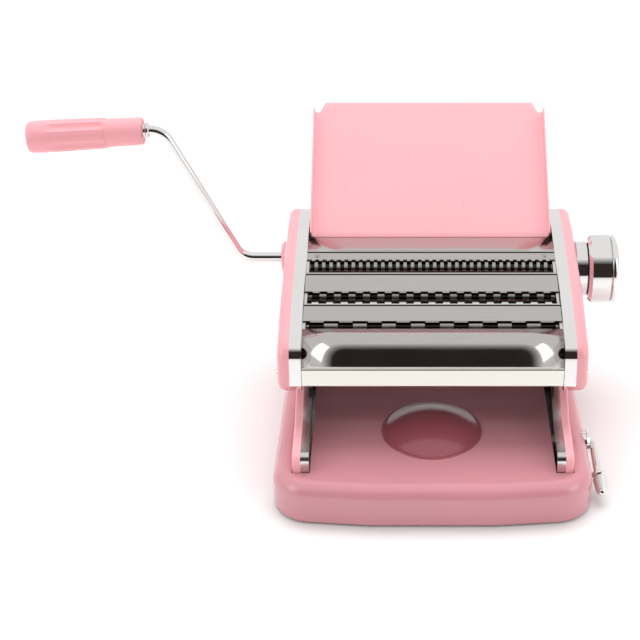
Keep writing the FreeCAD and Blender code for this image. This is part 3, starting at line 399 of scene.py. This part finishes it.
def make_tray(materials):
    """Sheet tray: flat middle, sides bent up, top edge folded back with its corners cut."""
    along = Vector(joint("tray_lift")["axis"])
    up = Vector((0.0, -along.z, along.y))
    low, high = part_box("dough_tray")
    flange, bend, underside = 0.0060, 0.0028, 0.0015
    origin = Vector((0.0, low[1] + flange * along.z, low[2] + underside * along.y))
    flat = high[0] - bend
    side_end, top_end, fold, cut = 0.0992, 0.1085, 0.0022, 0.0036
    arc = [math.pi / 2 * i / 6 for i in range(7)]
    right = [(flat + bend * math.sin(turn), bend * (1 - math.cos(turn))) for turn in arc]
    right.append((high[0], flange))
    left = [(-x, rise) for x, rise in reversed(right)]
    middle = [(flat * (i / 12 - 1), 0.0) for i in range(1, 24)]
    columns = left + middle + right
    mesh = bmesh.new()

    def row_of(points, reach, drop=0.0, shrink=1.0):
        return [mesh.verts.new(origin + Vector((x * shrink, 0, 0)) + along * reach + up * (rise - drop))
                for x, rise in points]

    rows = [row_of(columns, side_end * i / 20) for i in range(21)]
    inner = slice(len(left) - 1, len(left) + len(middle) + 1)
    narrowed = 1 - cut / flat
    lip = [rows[-1][inner]]
    for i in range(1, 4):
        reach = side_end + (top_end - fold - side_end) * i / 3
        lip.append(row_of(columns[inner], reach, 0.0, 1 - cut / flat * i / 3))
    for turn in arc[1:]:
        reach = top_end - fold + fold * math.sin(turn)
        lip.append(row_of(columns[inner], reach, fold * (1 - math.cos(turn)), narrowed))
    lip.append(row_of(columns[inner], top_end, fold * 1.6, narrowed))
    for grid in (rows, lip):
        join_rows(mesh, grid)
    tray = add_piece("dough_tray_sheet", mesh, materials["pink_enamel"], "tray",
                     "dough_tray")
    make_sheet(tray, up, TRAY_SHEET)
    soften = tray.modifiers.new("edges", "BEVEL")
    soften.width = 0.0003
    soften.segments = 2
    soften.limit_method = "ANGLE"
    soften.angle_limit = math.radians(50)


def bent_sheet(name, outline, half, slot, node, materials):
    """Deck sheet bent along an outline of (y, z) points, half being half its width."""
    mesh = bmesh.new()
    columns = [half * (i / 3 - 1) for i in range(7)]
    join_rows(mesh, [[mesh.verts.new((x, y, z)) for x in columns] for y, z in outline])
    sheet = add_piece(name, mesh, materials[slot], "frame", node)
    make_sheet(sheet, Vector((0, 0, 1)), DECK_SHEET)


def make_top_plate(materials):
    """Bent cover plate ahead of the rollers: it falls a little to the back and turns down there."""
    low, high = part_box("top_plate")
    fall, bend = 0.0008, 0.0012
    front, back, top = low[1], high[1], high[2]
    corners = [(front, top - bend), (front, top), (back, top - fall), (back, low[2])]
    outline = rounded(corners, bend, 5)
    bent_sheet("top_plate_bent", outline, high[0], "polished_steel", "top_plate", materials)


def make_front_cover(materials):
    """Cover rolled over the nose; it meets the bright bar at a slant and runs down behind it."""
    low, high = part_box("front_cover")
    bar_low, bar_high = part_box("front_lip")
    flat, lean = 0.0061, math.radians(22)
    deck_end = Vector((high[1], high[2]))
    bend = deck_end - Vector((math.cos(DECK_SLOPE), math.sin(DECK_SLOPE))) * flat
    foot = Vector((bar_low[1] + 0.0007, bar_high[2] + 0.0003))
    upward = Vector((math.sin(lean), math.cos(lean)))
    gradient = math.tan(DECK_SLOPE)
    reach = (bend.y - foot.y + (foot.x - bend.x) * gradient) / (upward.y - upward.x * gradient)
    crown = foot + upward * reach
    outline = [tuple(deck_end), tuple(bend)]
    steps = 24
    for i in range(1, steps + 1):
        outline.append(tuple(between(bend, crown, foot, i / steps)))
    outline += [(bar_low[1] + 0.0012, bar_high[2] - 0.0008), (bar_high[1] + 0.0002, low[2])]
    bent_sheet("front_cover_rolled", outline, high[0], "polished_steel", "front_cover", materials)


def make_dome(materials):
    """Glossy cover over the suction cup's mechanism, with a thin raised rim; its deep red colour is painted
    shade from the head above it.
    """
    cup = centre("suction_cup")
    radius, rise, rim = 0.0306, 0.0094, 0.0010
    sunk, lift = 0.0090, 0.0003
    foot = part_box("base_shell")[1][2] - sunk
    sphere = (radius ** 2 + rise ** 2) / (2 * rise)
    outline = [(-0.0004, radius + rim * 1.4), (0.0002, radius + rim * 1.3), (0.0006, radius + rim * 0.9),
               (0.0007, radius + rim * 0.4), (0.0006, radius)]
    steps = 20
    for i in range(1, steps):
        reach = radius * (1 - i / steps)
        outline.append((lift + math.sqrt(sphere ** 2 - reach ** 2) - (sphere - rise), reach))
    outline.append((lift + rise, 0.0002))
    place = place_along(Vector((cup.x, cup.y, foot)), Vector((0, 0, 1)))
    mesh = lathe(outline, 96, closed_start=False)
    add_piece("dome_cover", mesh, materials["dome_painted_shade"], "frame", place=place)


def make_knob_cap(materials):
    """Domed end of the thickness knob with softly rounded edges and the narrow groove behind it."""
    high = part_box("knob_cap")[1]
    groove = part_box("thickness_knob")[1][0]
    axis = centre("knob_cap")
    rim = high[2] - axis.z
    outline = [(0.0, rim - 0.0014), (0.0009, rim - 0.0013)]
    outline += rounded([(0.0009, rim - 0.0010), (0.0009, rim), (0.0034, rim), (0.0052, rim - 0.0022),
                        (0.0060, rim - 0.0070), (high[0] - groove - 0.00008, rim - 0.0150),
                        (high[0] - groove, 0.0002)], 0.0010, 5)
    place = place_along(Vector((groove, axis.y, axis.z)), Vector((1, 0, 0)))
    mesh = lathe(outline, 96)
    add_piece("knob_cap_domed", mesh, materials["chrome"], "knob", "knob_cap", place)


def make_knob_spring(materials):
    """Spring between the knob's drum and the head of its shaft, built as one fixed coil; the real spring
    shortens as the knob is pulled.
    """
    low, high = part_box("knob_spring")
    axis = centre("knob_spring")
    turns, around, wire_sides = 4, 24, 8
    wire, coil = 0.00045, 0.0056      # radii
    mesh = bmesh.new()
    rings = []
    for i in range(turns * around + 1):
        angle = 2 * math.pi * i / around
        outward = Vector((0, math.cos(angle), math.sin(angle)))
        x = low[0] + wire + (high[0] - low[0] - 2 * wire) * i / (turns * around)
        middle = Vector((x, axis.y, axis.z)) + outward * coil
        ring = []
        for side in range(wire_sides):
            turn = 2 * math.pi * side / wire_sides
            offset = outward * math.cos(turn) + Vector((1, 0, 0)) * math.sin(turn)
            ring.append(mesh.verts.new(middle + offset * wire))
        rings.append(ring)
    for ring, following in zip(rings, rings[1:]):
        for side in range(wire_sides):
            after = (side + 1) % wire_sides
            mesh.faces.new((ring[side], following[side], following[after], ring[after]))
    mesh.faces.new(rings[0])
    mesh.faces.new(rings[-1])
    spring = add_piece("knob_spring_coil", mesh, materials["frame_steel"], "regulator",
                       "knob_spring")
    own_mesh(spring)


def make_deck_screws(materials):
    """Two small screws, nearly flush, through the ends of the uppermost deck strip."""
    low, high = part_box("deck_strip_top")
    from_end, share_back, sunk = 0.0065, 0.45, 0.0008
    upward = Vector((0.0, -math.sin(DECK_SLOPE), math.cos(DECK_SLOPE)))
    y = low[1] + (high[1] - low[1]) * share_back
    z = high[2] - (high[1] - y) * math.tan(DECK_SLOPE) - sunk
    head = rounded([(-0.0004, 0.0017), (0.0002, 0.0017), (0.0008, 0.0013), (0.0010, 0.0002)], 0.0004)
    for side, word in ((-1, "left"), (1, "right")):
        place = place_along(Vector((side * (high[0] - from_end), y, z)), upward)
        add_piece("deck_screw_" + word, lathe(head, 32), materials["gear_steel"], "frame",
                  place=place)


# ---- light, floor and camera ----
def make_world():
    """White surroundings with a dark patch in front, where a studio is dark behind the camera."""
    toward, edge_start, edge_end = (0.0, -0.96, 0.28), 0.62, 0.88
    bright, dark, strength = (0.99, 0.985, 0.98, 1), (0.035, 0.028, 0.026, 1), 0.93
    world = bpy.data.worlds.new("studio")
    bpy.context.scene.world = world
    world.use_nodes = True
    nodes, links = world.node_tree.nodes, world.node_tree.links
    place = nodes.new("ShaderNodeTexCoord")
    facing = nodes.new("ShaderNodeVectorMath")
    facing.operation = "DOT_PRODUCT"
    facing.inputs[1].default_value = toward
    ranged = nodes.new("ShaderNodeMapRange")
    ranged.inputs["From Min"].default_value = edge_start
    ranged.inputs["From Max"].default_value = edge_end
    mixed = nodes.new("ShaderNodeMix")
    mixed.data_type = "RGBA"
    mixed.inputs["A"].default_value = bright
    mixed.inputs["B"].default_value = dark
    links.new(place.outputs["Generated"], facing.inputs[0])
    links.new(facing.outputs["Value"], ranged.inputs["Value"])
    links.new(ranged.outputs["Result"], mixed.inputs["Factor"])
    links.new(mixed.outputs["Result"], nodes["Background"].inputs["Color"])
    nodes["Background"].inputs["Strength"].default_value = strength


def make_light(name, place, target, size, power, in_reflections=True):
    """Rectangular lamp of so many watts that faces the target."""
    data = bpy.data.lights.new(name, "AREA")
    data.shape = "RECTANGLE"
    data.size, data.size_y = size
    data.energy = power
    light = bpy.data.objects.new(name, data)
    light.location = place
    light.rotation_euler = (Vector(target) - Vector(place)).to_track_quat("-Z", "Y").to_euler()
    light.visible_glossy = in_reflections
    bpy.context.scene.collection.objects.link(light)


def make_floor():
    """Pale floor, wide enough to fill the view."""
    mesh = bpy.data.meshes.new("floor")
    reach = 6.0
    corners = [(-reach, -reach, 0), (reach, -reach, 0), (reach, reach, 0), (-reach, reach, 0)]
    mesh.from_pydata(corners, [], [(0, 1, 2, 3)])
    floor = bpy.data.objects.new("floor", mesh)
    bpy.context.scene.collection.objects.link(floor)
    material, shader = new_material("floor_white", (0.93, 0.93, 0.93), 0.0, 0.6)
    value = noise(material, 3.0)
    two_colors(material, shader, value, (0.92, 0.92, 0.92), (0.94, 0.94, 0.94), NOISE_LOW, NOISE_HIGH)
    mesh.materials.append(material)


def make_camera():
    """Camera in front of the machine, looking down at it, with the picture shifted sideways."""
    data = bpy.data.cameras.new("camera")
    data.lens = CAMERA_LENS
    data.shift_x = CAMERA_SHIFT
    camera = bpy.data.objects.new("camera", data)
    camera.location = CAMERA_PLACE
    camera.rotation_euler = (CAMERA_PITCH, 0, 0)
    bpy.context.scene.collection.objects.link(camera)
    bpy.context.scene.camera = camera


def main():
    materials = make_materials()
    dress_frame(materials)
    make_crank_grip(materials)
    make_lever_grip(materials)
    make_tray(materials)
    make_top_plate(materials)
    make_front_cover(materials)
    make_dome(materials)
    make_knob_cap(materials)
    make_knob_spring(materials)
    make_deck_screws(materials)
    make_world()
    make_light("overhead", (0.0, 0.55, 1.4), (0, 0, 0), (1.6, 0.9), 13, False)
    make_light("left_side", (-1.35, -0.65, 0.8), (0, 0, 0.08), (0.7, 1.0), 3.4)
    make_light("right_side", (1.35, -0.65, 0.8), (0, 0, 0.08), (0.7, 1.0), 3.4)
    make_light("front_fill", (0.0, -1.25, 0.58), (0, 0, 0.05), (1.4, 0.4), 2.2, False)
    make_floor()
    make_camera()
    bpy.context.scene.view_settings.view_transform = "Standard"


main()
